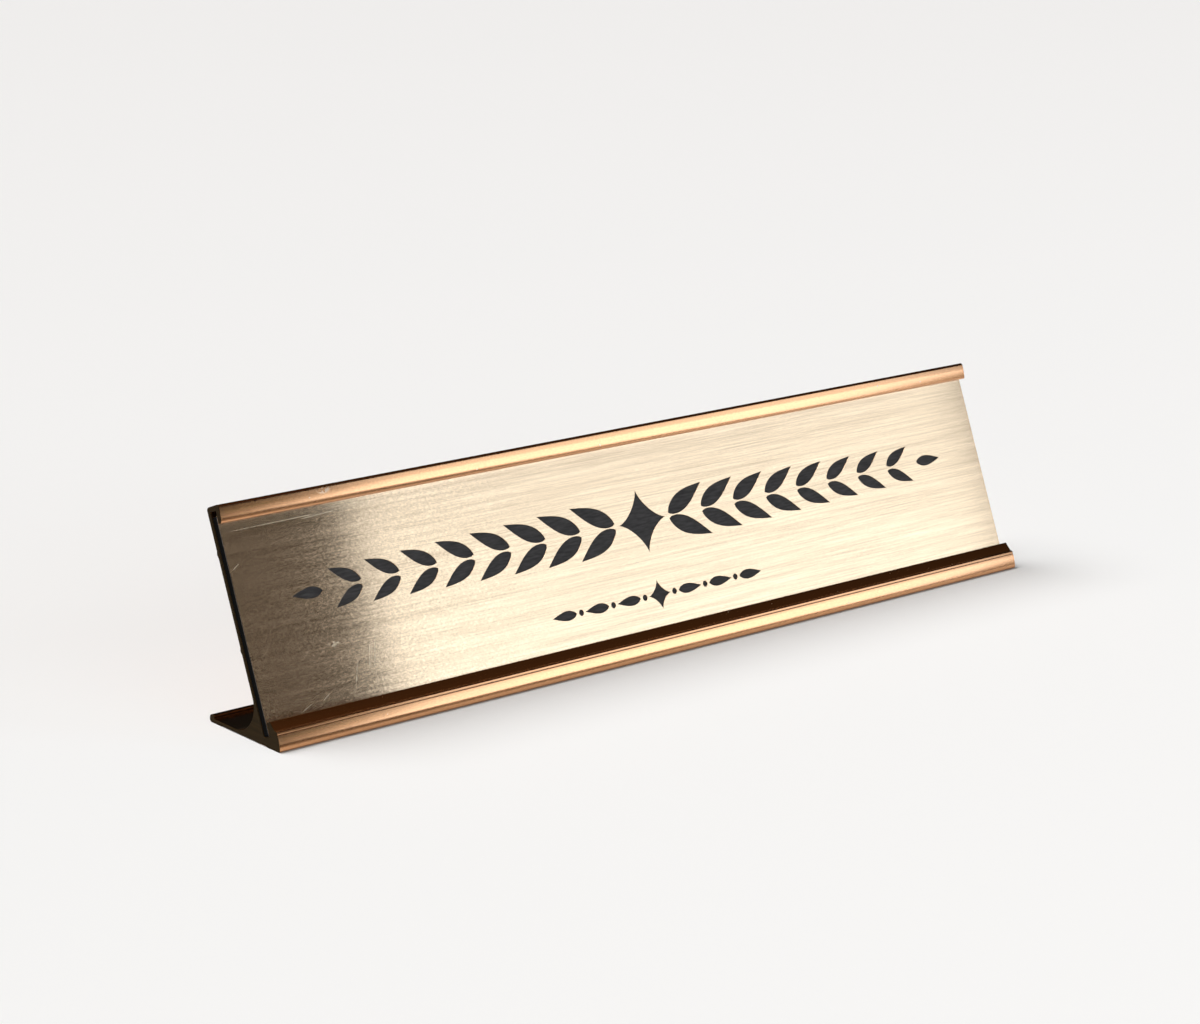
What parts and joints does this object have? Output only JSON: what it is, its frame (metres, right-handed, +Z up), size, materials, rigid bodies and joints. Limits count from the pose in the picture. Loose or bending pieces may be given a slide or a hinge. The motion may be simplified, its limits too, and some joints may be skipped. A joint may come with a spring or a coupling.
{
  "type": "desk name plate",
  "caption": "Leaning desk name plate: an extruded anodised aluminium holder with a hooked top, front bead and rear foot, and a brushed brass-faced plate that slides in from the end.",
  "frame": {"origin": "middle of the object's box on the desk: half way along the holder, half way from the base's front edge to the hook's rear corner", "axes": "+X along the plate to a reader's right, +Y to the back, +Z up; the plate's face looks to the front and up, leaning back 25 degrees"},
  "size_m": [0.254, 0.0288, 0.0515],
  "materials": {
    "anodised_aluminium": "satin rose-gold anodised, with matt saw-cut ends",
    "black_core": "matt black",
    "brushed_brass": "fine brushing along the plate, dull lacquer"
  },
  "bodies": {
    "holder": {"holder": "anodised_aluminium"},
    "plate": {"plate_core": "black_core", "plate_face": "brushed_brass"}
  },
  "joints": [
    {"name": "plate_slide", "type": "slide", "parent": "holder", "child": "plate", "axis": [1, 0, 0], "range_m": [-0.253, 0.254]}
  ]
}
